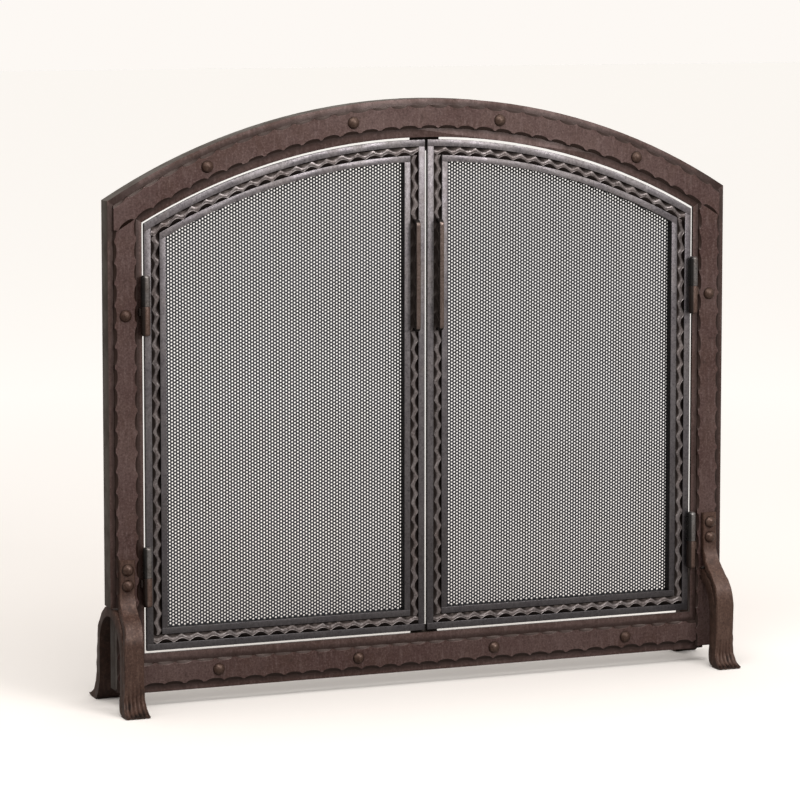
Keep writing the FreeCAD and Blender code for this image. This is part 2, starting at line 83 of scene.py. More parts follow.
def new_material(name):
    material = bpy.data.materials.new(name)
    material.use_nodes = True
    nodes = material.node_tree.nodes
    return material, nodes, material.node_tree.links, nodes["Principled BSDF"]


floor_size = 30.0
floor = plain_mesh("studio_floor", [(-floor_size, -floor_size, 0), (floor_size, -floor_size, 0),
                                    (floor_size, floor_size, 0), (-floor_size, floor_size, 0)], [(0, 1, 2, 3)])
floor_paint, nodes, links, shader = new_material("studio_floor_paint")
seen = nodes.new("ShaderNodeLightPath").outputs["Is Camera Ray"]
tone = nodes.new("ShaderNodeMix")
tone.data_type = "RGBA"
tone.inputs[6].default_value = (0.34, 0.33, 0.32, 1)
links.new(seen, tone.inputs[0])
place = nodes.new("ShaderNodeVectorMath")
place.operation = "LENGTH"
links.new(nodes.new("ShaderNodeTexCoord").outputs["Object"], place.inputs[0])
far = nodes.new("ShaderNodeMapRange")
far.inputs["From Min"].default_value = 0.8
far.inputs["From Max"].default_value = 3.5
links.new(place.outputs["Value"], far.inputs["Value"])
# For the camera the floor is painted darker near the screen and brighter further off: painted shade and painted
# light that even out the lamps' pool of light.
shade = nodes.new("ShaderNodeMix")
shade.data_type = "RGBA"
shade.inputs[6].default_value = (0.92, 0.89, 0.865, 1)
shade.inputs[7].default_value = (1.11, 1.11, 1.10, 1)
links.new(far.outputs[0], shade.inputs[0])
links.new(shade.outputs[2], tone.inputs[7])
links.new(tone.outputs[2], shader.inputs["Base Color"])
shader.inputs["Roughness"].default_value = 0.9
shader.inputs["Specular IOR Level"].default_value = 0.0
floor.data.materials.append(floor_paint)

world = bpy.data.worlds.new("studio_surround")
bpy.context.scene.world = world
world.use_nodes = True
nodes, links = world.node_tree.nodes, world.node_tree.links
surround = nodes["Background"]
surround.inputs["Color"].default_value = (0.985, 0.945, 0.905, 1)
seen = nodes.new("ShaderNodeLightPath").outputs["Is Camera Ray"]
upward = nodes.new("ShaderNodeSeparateXYZ")
links.new(nodes.new("ShaderNodeTexCoord").outputs["Generated"], upward.inputs[0])
ceiling = nodes.new("ShaderNodeMapRange")
ceiling.inputs["From Min"].default_value = -0.1
ceiling.inputs["From Max"].default_value = 0.9
ceiling.inputs["To Min"].default_value = 0.22
ceiling.inputs["To Max"].default_value = 1.1
links.new(upward.outputs["Z"], ceiling.inputs["Value"])
strength = nodes.new("ShaderNodeMix")
strength.inputs[3].default_value = 1.0
links.new(seen, strength.inputs[0])
links.new(ceiling.outputs[0], strength.inputs[2])
links.new(strength.outputs[0], surround.inputs["Strength"])
bpy.context.scene.view_settings.view_transform = "Standard"


def soft_lamp(name, place, aim, size, power, colour):
    data = bpy.data.lights.new(name, "AREA")
    data.shape = "RECTANGLE"
    data.size, data.size_y = size
    data.energy = power
    data.color = colour
    lamp = bpy.data.objects.new(name, data)
    lamp.location = place
    lamp.rotation_euler = (Vector(aim) - Vector(place)).to_track_quat("-Z", "Y").to_euler()
    bpy.context.scene.collection.objects.link(lamp)


soft_lamp("key_lamp", (-0.35, -1.15, 2.15), (0.0, 0.0, 0.55), (1.8, 0.9), 22.0, (1.0, 0.98, 0.95))
soft_lamp("sheen_lamp", (1.25, -2.9, 1.95), (0.1, 0.0, 0.85), (1.5, 0.8), 46.0, (1.0, 0.975, 0.955))


# ---- Frame: arch rail, uprights, bottom rail, corner posts, door stops.
# Steel angle, mitred and welded, with a patina rubbed on by hand. Along both sides of every strap the face is
# painted dark and brown as painted shade at the foot of the strap, and it is greyer in the middle of what is left.
MM = 0.001
arch_radius = 915.0


def math_node(nodes, links, operation, a, b=None):
    node = nodes.new("ShaderNodeMath")
    node.operation = operation
    for socket, value in zip(node.inputs, (a, b)):
        if isinstance(value, (int, float)):
            socket.default_value = value
        elif value is not None:
            links.new(value, socket)
    return node.outputs[0]


def mix_colour(nodes, links, factor, a, b):
    node = nodes.new("ShaderNodeMix")
    node.data_type = "RGBA"
    for socket, value in ((node.inputs[0], factor), (node.inputs[6], a), (node.inputs[7], b)):
        if isinstance(value, (int, float)):
            socket.default_value = value
        elif isinstance(value, tuple):
            socket.default_value = (*value, 1)
        else:
            links.new(value, socket)
    return node.outputs[2]


def noise_node(nodes, links, coords, scale, detail=4.0, roughness=0.6, stretch=None):
    if stretch:
        mapping = nodes.new("ShaderNodeMapping")
        mapping.inputs["Scale"].default_value = stretch
        links.new(coords, mapping.inputs["Vector"])
        coords = mapping.outputs[0]
    node = nodes.new("ShaderNodeTexNoise")
    node.inputs["Scale"].default_value = scale
    node.inputs["Detail"].default_value = detail
    node.inputs["Roughness"].default_value = roughness
    links.new(coords, node.inputs["Vector"])
    return node.outputs["Fac"]


def ramp(nodes, links, value, low, high):
    node = nodes.new("ShaderNodeMapRange")
    node.interpolation_type = "SMOOTHSTEP"
    node.inputs["From Min"].default_value = low
    node.inputs["From Max"].default_value = high
    links.new(value, node.inputs["Value"])
    return node.outputs["Result"]


def iron_finish(name, deep, body, warm, bright, roughness, metallic, rub_attribute=False, painted_shade=None, sides=None):
    """A patina of four colours: deep in hollows, body, warm blotches and bright where it is rubbed. A mesh may
    carry an attribute "rub" from 0, deep, to 1, proud. A painted shade mask, if given, darkens it towards deep.
    The sides, given as how far back they start and a colour, are painted in that colour, blotched towards deep:
    painted shade on the door edges and the handle sides, and a duller olive tone on the frame's returns."""
    blotches, clouds, specks, streaks = 26.0, 7.0, 330.0, 210.0
    drawn_down = (1.0, 1.0, 0.16)
    grain = 0.25 * MM
    side_blend = 0.6 * MM
    material, nodes, links, shader = new_material(name)
    coords = nodes.new("ShaderNodeTexCoord").outputs["Object"]
    blotch = ramp(nodes, links, noise_node(nodes, links, coords, blotches), 0.38, 0.68)
    cloud = ramp(nodes, links, noise_node(nodes, links, coords, clouds, 3.0), 0.35, 0.7)
    speck = noise_node(nodes, links, coords, specks, 4.0, 0.75)
    streak = noise_node(nodes, links, coords, streaks, 3.0, 0.6, drawn_down)
    colour = mix_colour(nodes, links, blotch, body, warm)
    colour = mix_colour(nodes, links, math_node(nodes, links, "MULTIPLY", cloud, 0.32), colour, bright)
    speck_amount = math_node(nodes, links, "MULTIPLY", ramp(nodes, links, speck, 0.5, 0.70), 0.55)
    colour = mix_colour(nodes, links, speck_amount, colour, bright)
    pit_amount = math_node(nodes, links, "MULTIPLY", ramp(nodes, links, speck, 0.5, 0.3), 0.65)
    colour = mix_colour(nodes, links, pit_amount, colour, deep)
    streak_amount = math_node(nodes, links, "MULTIPLY", ramp(nodes, links, streak, 0.5, 0.72), 0.35)
    colour = mix_colour(nodes, links, streak_amount, colour, bright)
    if rub_attribute:
        rub = nodes.new("ShaderNodeAttribute")
        rub.attribute_name = "rub"
        rub = rub.outputs["Fac"]
        wander = math_node(nodes, links, "MULTIPLY_ADD", noise_node(nodes, links, coords, 90.0), 0.4)
        wander.node.inputs[2].default_value = -0.20
        rub = math_node(nodes, links, "ADD", rub, wander)
        colour = mix_colour(nodes, links, ramp(nodes, links, rub, 0.25, 0.65), deep, colour)
        shine = math_node(nodes, links, "MULTIPLY", ramp(nodes, links, rub, 0.85, 1.25), 0.7)
        colour = mix_colour(nodes, links, shine, colour, bright)
    # Painted shade: a mask given with the finish darkens the colour towards deep.
    if painted_shade:
        colour = mix_colour(nodes, links, painted_shade(nodes, links, coords), colour, deep)
    # Painted shade on the side faces: the side colour, blotched towards deep.
    if sides:
        depth = nodes.new("ShaderNodeSeparateXYZ")
        links.new(coords, depth.inputs[0])
        back = ramp(nodes, links, depth.outputs["Y"], sides[0], sides[0] + side_blend)
        side_shaded = mix_colour(nodes, links, math_node(nodes, links, "MULTIPLY", blotch, 0.4), sides[1], deep)
        colour = mix_colour(nodes, links, back, colour, side_shaded)
    links.new(colour, shader.inputs["Base Color"])
    shader.inputs["Metallic"].default_value = metallic
    rough = nodes.new("ShaderNodeMapRange")
    rough.inputs["To Min"].default_value = roughness - 0.08
    rough.inputs["To Max"].default_value = roughness + 0.12
    links.new(blotch, rough.inputs["Value"])
    links.new(rough.outputs[0], shader.inputs["Roughness"])
    bump = nodes.new("ShaderNodeBump")
    bump.inputs["Distance"].default_value = grain
    bump.inputs["Strength"].default_value = 0.6
    links.new(speck, bump.inputs["Height"])
    links.new(bump.outputs[0], shader.inputs["Normal"])
    return material


def finished(piece, material, body, slot, *replaced):
    """The last steps for a piece: its finish, its body and the CAD nodes it stands for. The slot is not used."""
    piece.data.materials.clear()
    piece.data.materials.append(material)
    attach(piece, body)
    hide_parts(*replaced)
    return piece


slot_of = {row["node"]: row["material_slot"] for row in frame["record"]["subparts"]}
body_of = {node: body for body, names in frame["record"]["behaviour"]["bodies"].items() for node in names}


def softened(node, material, edge=0.5):
    """A rolled or cut bar with its sharp edges rubbed down by so many millimetres."""
    form = bmesh.new()
    form.from_mesh(frame["nodes"][node].data)
    bmesh.ops.remove_doubles(form, verts=form.verts, dist=0.01 * MM)
    bmesh.ops.dissolve_limit(form, angle_limit=math.radians(0.6), verts=form.verts, edges=form.edges)
    least_corner = math.radians(40)
    corners = [e for e in form.edges if len(e.link_faces) == 2 and e.is_convex]
    sharp = [e for e in corners if e.calc_face_angle(0.0) > least_corner]
    bmesh.ops.bevel(form, geom=sharp, offset=edge * MM, segments=2, profile=0.6, affect="EDGES",
                    clamp_overlap=True)
    mesh = bpy.data.meshes.new(node + "_iron")
    form.to_mesh(mesh)
    form.free()
    mesh.polygons.foreach_set("use_smooth", [True] * len(mesh.polygons))
    mesh.set_sharp_from_angle(angle=math.radians(38))
    piece = bpy.data.objects.new(node + "_iron", mesh)
    bpy.context.scene.collection.objects.link(piece)
    return finished(piece, material, body_of[node], slot_of[node], node)


def shade_beside_straps(nodes, links, coords):
    """From 0 to 1: painted shade, by how near a point of the frame's face is to the middle line of a strap."""
    upright_mid = sum(abs(c.x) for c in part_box("right_strap")) / 2
    bottom_low, bottom_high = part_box("bottom_strap")
    bottom_mid = (bottom_low.z + bottom_high.z) / 2
    arch_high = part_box("arch_strap")[1].z
    arch_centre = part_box("arch_rail")[1].z - arch_radius * MM
    half_strap = 16.5 * MM
    arch_mid = arch_high - arch_centre - half_strap
    split = nodes.new("ShaderNodeSeparateXYZ")
    links.new(coords, split.inputs[0])
    x, _, z = split.outputs
    side = math_node(nodes, links, "ABSOLUTE", x)
    side = math_node(nodes, links, "SUBTRACT", side, upright_mid)
    side = math_node(nodes, links, "ABSOLUTE", side)
    foot = math_node(nodes, links, "ABSOLUTE", math_node(nodes, links, "SUBTRACT", z, bottom_mid))
    rise = math_node(nodes, links, "SUBTRACT", z, arch_centre)
    square = math_node(nodes, links, "ADD", math_node(nodes, links, "MULTIPLY", x, x),
                       math_node(nodes, links, "MULTIPLY", rise, rise))
    arch = math_node(nodes, links, "SQRT", square)
    arch = math_node(nodes, links, "ABSOLUTE", math_node(nodes, links, "SUBTRACT", arch, arch_mid))
    near = math_node(nodes, links, "MINIMUM", math_node(nodes, links, "MINIMUM", side, foot), arch)
    wander = 6.0 * MM
    wobble = math_node(nodes, links, "MULTIPLY", noise_node(nodes, links, coords, 60.0), wander)
    near = math_node(nodes, links, "ADD", near, wobble)
    shade_edge, shade_full = 27.5 * MM, 21.5 * MM
    return math_node(nodes, links, "MULTIPLY", ramp(nodes, links, near, shade_edge, shade_full), 0.72)


face_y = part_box("arch_rail")[0].y
# The frame's patina carries painted shade along both sides of every strap.
frame_patina = iron_finish("frame_patina", deep=(0.022, 0.010, 0.007), body=(0.060, 0.031, 0.026),
                           warm=(0.058, 0.028, 0.021), bright=(0.16, 0.11, 0.105), roughness=0.46, metallic=0.4,
                           painted_shade=shade_beside_straps, sides=(face_y + 0.0010, (0.060, 0.044, 0.031)))
for node in ("arch_rail", "left_upright", "right_upright", "bottom_rail"):
    softened(node, frame_patina, 0.8)
post_patina = iron_finish("post_patina", deep=(0.010, 0.007, 0.005), body=(0.034, 0.024, 0.019),
                          warm=(0.030, 0.018, 0.013), bright=(0.07, 0.055, 0.047), roughness=0.6, metallic=0.3)
for node in ("left_corner_post", "right_corner_post", "top_door_stop", "bottom_door_stop"):
    softened(node, post_patina, 0.5)


# ---- Hammered straps.
# Flat bar riveted to the frame. Its two edges were hammered down in turn over the anvil's edge, so a scalloped
# face is left standing between staggered bites, with a crisp rim at every bite and small dents between.
def made_mesh(name, rings, rub, crease=32.0):
    """A closed bar through rings of points, in millimetres, with a cap at each end."""
    count, around = rings.shape[:2]
    verts = rings.reshape(-1, 3) * MM
    faces = []
    for i in range(count - 1):
        low, high = i * around, (i + 1) * around
        for j in range(around):
            k = (j + 1) % around
            faces.append((low + j, low + k, high + k, high + j))
    faces.append(tuple(range(around))[::-1])
    last = (count - 1) * around
    faces.append(tuple(last + j for j in range(around)))
    mesh = bpy.data.meshes.new(name)
    mesh.from_pydata([tuple(map(float, v)) for v in verts], [], faces)
    worn = mesh.attributes.new("rub", "FLOAT", "POINT")
    worn.data.foreach_set("value", np.clip(rub.reshape(-1), 0, 1).astype(float))
    form = bmesh.new()
    form.from_mesh(mesh)
    if form.calc_volume(signed=True) < 0:
        bmesh.ops.reverse_faces(form, faces=form.faces)
    form.to_mesh(mesh)
    form.free()
    mesh.polygons.foreach_set("use_smooth", [True] * len(mesh.polygons))
    mesh.set_sharp_from_angle(angle=math.radians(crease))
    piece = bpy.data.objects.new(name, mesh)
    bpy.context.scene.collection.objects.link(piece)
    return piece


def bites(length, period, start, width, depth, rng):
    """Hammered bites along one edge, each a little different: middle, half width and depth."""
    places = []
    at = start
    while at < length + period:
        places.append((at + rng.uniform(-0.05, 0.05) * period, width / 2 * rng.uniform(0.92, 1.06),
                       depth * rng.uniform(0.82, 1.06)))
        at += period
    return places


def bite_at(s, places, least, round_off):
    deep = least
    for middle, half, depth in places:
        t = (s - middle) / half
        if abs(t) < 1:
            deep = max(deep, least + (depth - least) * (1 - t * t) ** round_off)
    return deep


def hammered_bar(name, edge_a, edge_b, back_y, thick, period, bite, depth, foot, seed, face_columns=6, steps=18,
                 crown=0.0, dent=0.22, round_off=0.5, shaded=lambda z: 0.0):
    """A bar between two edge lines, each a function from 0 to 1; thick is how far it stands in front of back_y,
    and shaded gives how much painted shade darkens it at a height."""
    rng = random.Random(seed)
    probes = 40
    probe = [(edge_a(i / probes) + edge_b(i / probes)) / 2 for i in range(probes + 1)]
    length = sum(np.linalg.norm(b - a) for a, b in zip(probe, probe[1:]))
    width = np.linalg.norm(edge_b(0.5) - edge_a(0.5))
    quarter = 0.25 * period
    bites_a = bites(length, period, quarter, bite * period, depth, rng)
    bites_b = bites(length, period, -quarter, bite * period, depth, rng)
    count = int(length / period * steps) + 1
    least = 0.3
    corner_drop = 0.4
    rim_drop = 0.1
    rings = []
    rub = []
    for i in range(count + 1):
        u = i / count
        s = u * length
        a, b = edge_a(u), edge_b(u)
        cut_a, cut_b = (bite_at(s, places, least, round_off) for places in (bites_a, bites_b))
        rim = min(0.7, (width - cut_a - cut_b) * 0.2)
        inner = np.linspace(cut_a + rim, width - cut_b - rim, face_columns)
        across = [0.0, cut_a * 0.5, cut_a * 0.92, cut_a, *inner, width - cut_b, width - cut_b * 0.92,
                  width - cut_b * 0.5, width]
        full_a, full_b = min(1.0, cut_a / depth), min(1.0, cut_b / depth)
        low_a = thick - corner_drop - (thick - corner_drop - foot) * full_a
        low_b = thick - corner_drop - (thick - corner_drop - foot) * full_b
        tall = [low_a, low_a + (thick - low_a) * 0.34, low_a + (thick - low_a) * 0.84, thick - rim_drop]
        worn = [0.10, 0.16, 0.42, 0.98]
        for w in inner:
            t = (w - inner[0]) / max(inner[-1] - inner[0], 1e-6)
            p = a + (b - a) * (w / width)
            lump = noise.noise(Vector((p[0] * 0.11, seed * 3.1, p[1] * 0.11)))
            small = noise.noise(Vector((p[0] * 0.31, seed * 7.7, p[1] * 0.31)))
            fall = dent * (0.5 + 0.55 * lump + 0.35 * small)
            tall.append(thick - crown * (2 * t - 1) ** 2 - max(0.0, fall))
            worn.append(0.72 + 0.2 * small - 0.25 * max(0.0, lump))
        tall += [thick - rim_drop, low_b + (thick - low_b) * 0.84, low_b + (thick - low_b) * 0.34, low_b]
        worn += [0.98, 0.42, 0.16, 0.10]
        ring = [(*(a + (b - a) * (w / width)), back_y - h) for w, h in zip(across, tall)]
        ring += [(*b, back_y), (*a, back_y)]
        rings.append([(x, y, z) for x, z, y in ring])
        unshaded = 1 - shaded((a[1] + b[1]) / 2)
        rub.append([w * unshaded for w in worn] + [0.0, 0.0])
    return made_mesh(name, np.array(rings), np.array(rub))


def in_mm(node):
    low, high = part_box(node)
    return np.array(low) / MM, np.array(high) / MM


def straight(x0, z0, x1, z1):
    return lambda u: np.array((x0 + (x1 - x0) * u, z0 + (z1 - z0) * u))


def arc(radius, centre_z, x0, x1):
    """A line round the arch from one X to another."""
    start, end = math.asin(x0 / radius), math.asin(x1 / radius)
    return lambda u: np.array((radius * math.sin(start + (end - start) * u),
                               centre_z + radius * math.cos(start + (end - start) * u)))


strap_patina = iron_finish("strap_patina", deep=(0.026, 0.012, 0.008), body=(0.072, 0.036, 0.032),
                           warm=(0.064, 0.030, 0.023), bright=(0.18, 0.125, 0.118), roughness=0.44, metallic=0.4,
                           rub_attribute=True)
arch_crown = in_mm("arch_rail")[1][2]
arch_centre_z = arch_crown - arch_radius
strap_low, strap_high = in_mm("right_strap")
strap_back = strap_high[1]
strap_thick = strap_high[1] - strap_low[1]
arch_strap_outer = in_mm("arch_strap")[1][2] - arch_centre_z
strap_width = strap_high[0] - strap_low[0]
arch_strap_inner = arch_strap_outer - strap_width
strap_form = dict(period=30.0, bite=0.86, depth=4.6, foot=0.9)
end_x = strap_high[0]
piece = hammered_bar("arch_strap_hammered", arc(arch_strap_outer, arch_centre_z, -end_x, end_x),
                     arc(arch_strap_inner, arch_centre_z, -end_x, end_x), strap_back, strap_thick, seed=3,
                     **strap_form)
finished(piece, strap_patina, "frame", "strap_iron", "arch_strap")

bottom_low, bottom_high = in_mm("bottom_strap")
piece = hammered_bar("bottom_strap_hammered",
                     straight(bottom_low[0], bottom_high[2], bottom_high[0], bottom_high[2]),
                     straight(bottom_low[0], bottom_low[2], bottom_high[0], bottom_low[2]),
                     strap_back, strap_thick, seed=5, **strap_form)
finished(piece, strap_patina, "frame", "strap_iron", "bottom_strap")

yoke_low, yoke_high = in_mm("right_leg_yoke")
leg_mid_x = (yoke_low[0] + yoke_high[0]) / 2
leg_half = 15.0
yoke_top = yoke_high[2]
notch_low, notch_high = yoke_top - 19.6, yoke_top + 0.3
past = 5.0
for side, sign in (("left", -1), ("right", 1)):
    x0, x1 = sorted((sign * strap_low[0], sign * strap_high[0]))
    tops = [arch_centre_z + math.sqrt(arch_strap_inner ** 2 - x * x) for x in (x0, x1)]
    piece = hammered_bar(side + "_strap_hammered", straight(x0, strap_low[2], x0, tops[0]),
                         straight(x1, strap_low[2], x1, tops[1]), strap_back, strap_thick, seed=8 + sign,
                         **strap_form)
    notch = (sign * (leg_mid_x - leg_half), sign * (strap_high[0] + past))
    notch_x0, notch_x1 = min(notch), max(notch)
    corners = [(x * MM, y * MM, z * MM) for x in (notch_x0, notch_x1)
               for y in (strap_low[1] - past, strap_high[1] + past) for z in (notch_low, notch_high)]
    cutter = plain_mesh("cutter", corners, [(0, 1, 3, 2), (4, 6, 7, 5), (0, 4, 5, 1), (2, 3, 7, 6), (0, 2, 6, 4),
                                            (1, 5, 7, 3)])
    cut = piece.modifiers.new("notch", "BOOLEAN")
    cut.object = cutter
    cut.operation = "DIFFERENCE"
    cut.solver = "EXACT"
    bpy.context.view_layer.update()
    notched = bpy.data.meshes.new_from_object(piece.evaluated_get(bpy.context.evaluated_depsgraph_get()))
    piece.modifiers.clear()
    piece.data = notched
    bpy.data.objects.remove(cutter)
    finished(piece, strap_patina, "frame", "strap_iron", side + "_strap")


# ---- Door bars and channel plates.
# Each door is a flat outer bar and a deeper inner bar on edge, with a channel between them whose floor is a
# narrow plate. They are natural grey iron, greyer and brighter than the frame, under wax.
def painted_shade_below(nodes, links, coords):
    """From 0 to 1: painted shade, the doors darker and bluer towards the foot, where the overhead light falls off.
    """
    split = nodes.new("ShaderNodeSeparateXYZ")
    links.new(coords, split.inputs[0])
    height = math_node(nodes, links, "MULTIPLY_ADD", noise_node(nodes, links, coords, 9.0), 0.12)
    links.new(split.outputs["Z"], height.node.inputs[2])
    return math_node(nodes, links, "MULTIPLY", ramp(nodes, links, height, 0.74, 0.06), 0.70)


# Door grey: painted shade towards the foot, and the bars' side faces painted near black as painted shade.
door_grey = iron_finish("door_grey", deep=(0.036, 0.034, 0.037), body=(0.195, 0.177, 0.192),
                        warm=(0.17, 0.150, 0.150), bright=(0.33, 0.315, 0.325), roughness=0.38, metallic=0.85,
                        painted_shade=painted_shade_below, sides=(face_y + 0.0008, (0.030, 0.028, 0.029)))
channel_black = iron_finish("channel_black", deep=(0.004, 0.004, 0.003), body=(0.009, 0.007, 0.006),
                            warm=(0.014, 0.009, 0.007), bright=(0.03, 0.025, 0.022), roughness=0.65, metallic=0.1)
for side in ("left", "right"):
    for kind in ("outer", "inner"):
        for place in ("arch", "foot", "meeting", "hinge"):
            softened("%s_%s_%s_bar" % (side, kind, place), door_grey, 0.5)
    softened(side + "_channel_plate", channel_black, 0.3)


# ---- Twisted bars in the door channels.
# A narrow bar hammered over from each edge in turn, so that its face winds from side to side of the channel
# like a flattened twist; the crests are rubbed bright and the hollows are left dark.
twist_patina = iron_finish("twist_patina", deep=(0.019, 0.013, 0.011), body=(0.16, 0.138, 0.138),
                           warm=(0.13, 0.102, 0.096), bright=(0.38, 0.35, 0.35), roughness=0.38, metallic=0.7,
                           rub_attribute=True)
arch_band = 56.0
opening_radius = 886.0
door_centre_z = arch_crown - arch_band - opening_radius
flat_period, upright_period = 24.0, 25.0
twist_form = dict(bite=1.0, depth=6.1, foot=0.6, face_columns=4, steps=18, crown=0.5, dent=0.12, round_off=1.3)
handle_low, handle_high = in_mm("left_handle")


def handle_shadow(z):
    """Painted shadow: the bar behind a handle is painted dark, as the handle's shadow on it."""
    inside = min(z - handle_low[2], handle_high[2] - z)
    return min(1.0, max(0.0, inside / 3.0 + 0.5))


for side, sign in (("left", -1), ("right", 1)):
    seed = 20 + 5 * sign
    meeting = in_mm(side + "_twisted_meeting_bar")
    hinge = in_mm(side + "_twisted_hinge_bar")
    foot = in_mm(side + "_twisted_foot_bar")
    band = in_mm(side + "_twisted_arch_bar")
    back_y = foot[1][1]
    thick = foot[1][1] - foot[0][1]
    wide = foot[1][2] - foot[0][2]
    near_x = min(abs(foot[0][0]), abs(foot[1][0]))
    far_x = max(abs(foot[0][0]), abs(foot[1][0]))
    outer_r = math.hypot(near_x, band[1][2] - door_centre_z)
    inner_r = outer_r - wide
    x_from, x_to = sorted((sign * near_x, sign * far_x))
    lines = {"arch": (arc(outer_r, door_centre_z, x_from, x_to), arc(inner_r, door_centre_z, x_from, x_to),
                      flat_period),
             "foot": (straight(foot[0][0], foot[1][2], foot[1][0], foot[1][2]),
                      straight(foot[0][0], foot[0][2], foot[1][0], foot[0][2]), flat_period)}
    for place, (low, high) in (("meeting", meeting), ("hinge", hinge)):
        tops = [door_centre_z + math.sqrt(inner_r ** 2 - x * x) for x in (low[0], high[0])]
        lines[place] = (straight(low[0], low[2], low[0], tops[0]), straight(high[0], low[2], high[0], tops[1]),
                        upright_period)
    for i, (place, (edge_a, edge_b, period)) in enumerate(lines.items()):
        node = "%s_twisted_%s_bar" % (side, place)
        # The meeting bars carry the handle's painted shadow.
        shaded = handle_shadow if place == "meeting" else (lambda z: 0.0)
        piece = hammered_bar(node + "_forged", edge_a, edge_b, back_y, thick, period, seed=seed + i, shaded=shaded,
                             **twist_form)
        finished(piece, twist_patina, side + "_door", "twisted_iron", node)


# ---- Perforated sheets.
# One millimetre steel sheet, painted matt black, with 3 mm holes staggered at 60 degrees on a 5 mm pitch. It
# is welded behind the inner bars by a plain margin.
def tree_inputs(tree, wanted):
    for name, kind in wanted:
        tree.interface.new_socket(name, in_out="INPUT", socket_type=kind)
    tree.interface.new_socket("Geometry", in_out="OUTPUT", socket_type="NodeSocketGeometry")
    given = tree.nodes.new("NodeGroupInput")
    made = tree.nodes.new("NodeGroupOutput")
    return given, made


def run_tree(name, base, tree, values):
    """Gives a base mesh the tree as a modifier, sets its inputs, and keeps the result as a plain mesh."""
    piece = bpy.data.objects.new(name, base)
    modifier = piece.modifiers.new("made", "NODES")
    modifier.node_group = tree
    sockets = {item.name: item.identifier for item in tree.interface.items_tree if item.in_out == "INPUT"}
    for label, value in values.items():
        modifier[sockets[label]] = value
    bpy.context.scene.collection.objects.link(piece)
    bpy.context.view_layer.update()
    mesh = bpy.data.meshes.new_from_object(piece.evaluated_get(bpy.context.evaluated_depsgraph_get()))
    piece.modifiers.clear()
    piece.data = mesh
    return piece


perforated = bpy.data.node_groups.new("perforated_sheet", "GeometryNodeTree")
given, made = tree_inputs(perforated, [("Places", "NodeSocketGeometry"), ("Cell", "NodeSocketObject"),
                                       ("Material", "NodeSocketMaterial")])
cell_info = perforated.nodes.new("GeometryNodeObjectInfo")
perforated.links.new(given.outputs["Cell"], cell_info.inputs["Object"])
cells = perforated.nodes.new("GeometryNodeInstanceOnPoints")
perforated.links.new(given.outputs["Places"], cells.inputs["Points"])
perforated.links.new(cell_info.outputs["Geometry"], cells.inputs["Instance"])
joined = perforated.nodes.new("GeometryNodeRealizeInstances")
perforated.links.new(cells.outputs["Instances"], joined.inputs["Geometry"])
welded = perforated.nodes.new("GeometryNodeMergeByDistance")
welded.inputs["Distance"].default_value = 0.02 * MM
perforated.links.new(joined.outputs["Geometry"], welded.inputs["Geometry"])
real = perforated.nodes.new("GeometryNodeRealizeInstances")
perforated.links.new(welded.outputs["Geometry"], real.inputs["Geometry"])
finish = perforated.nodes.new("GeometryNodeSetMaterial")
perforated.links.new(real.outputs["Geometry"], finish.inputs["Geometry"])
perforated.links.new(given.outputs["Material"], finish.inputs["Material"])
perforated.links.new(finish.outputs["Geometry"], made.inputs["Geometry"])

sheet_black = iron_finish("sheet_black", deep=(0.006, 0.006, 0.009), body=(0.013, 0.015, 0.024),
                          warm=(0.016, 0.016, 0.020), bright=(0.035, 0.036, 0.045), roughness=0.62, metallic=0.0)
pitch = 5.0
skin = 0.1
hole_side = 1.60
row_step = pitch * math.sqrt(3) / 2
corner = [np.array((hole_side * math.cos(math.radians(60 * k)), hole_side * math.sin(math.radians(60 * k))))
          for k in range(6)]
step_30 = np.array((row_step, pitch / 2))
step_90 = np.array((0.0, pitch))
step_150 = np.array((-row_step, pitch / 2))
cell_faces = [
    (corner[1], corner[0], corner[4] + step_30, corner[3] + step_30),
    (corner[2], corner[1], corner[5] + step_90, corner[4] + step_90),
    (corner[3], corner[2], corner[0] + step_150, corner[5] + step_150),
    (corner[1], corner[3] + step_30, corner[5] + step_90),
    (corner[2], corner[4] + step_90, corner[0] + step_150)]
points = [p for face in cell_faces for p in face]
order = []
at = 0
for face in cell_faces:
    order.append(tuple(range(at, at + len(face))))
    at += len(face)
cell = plain_mesh("cell", [(p[0] * MM, 0, p[1] * MM) for p in points], order)

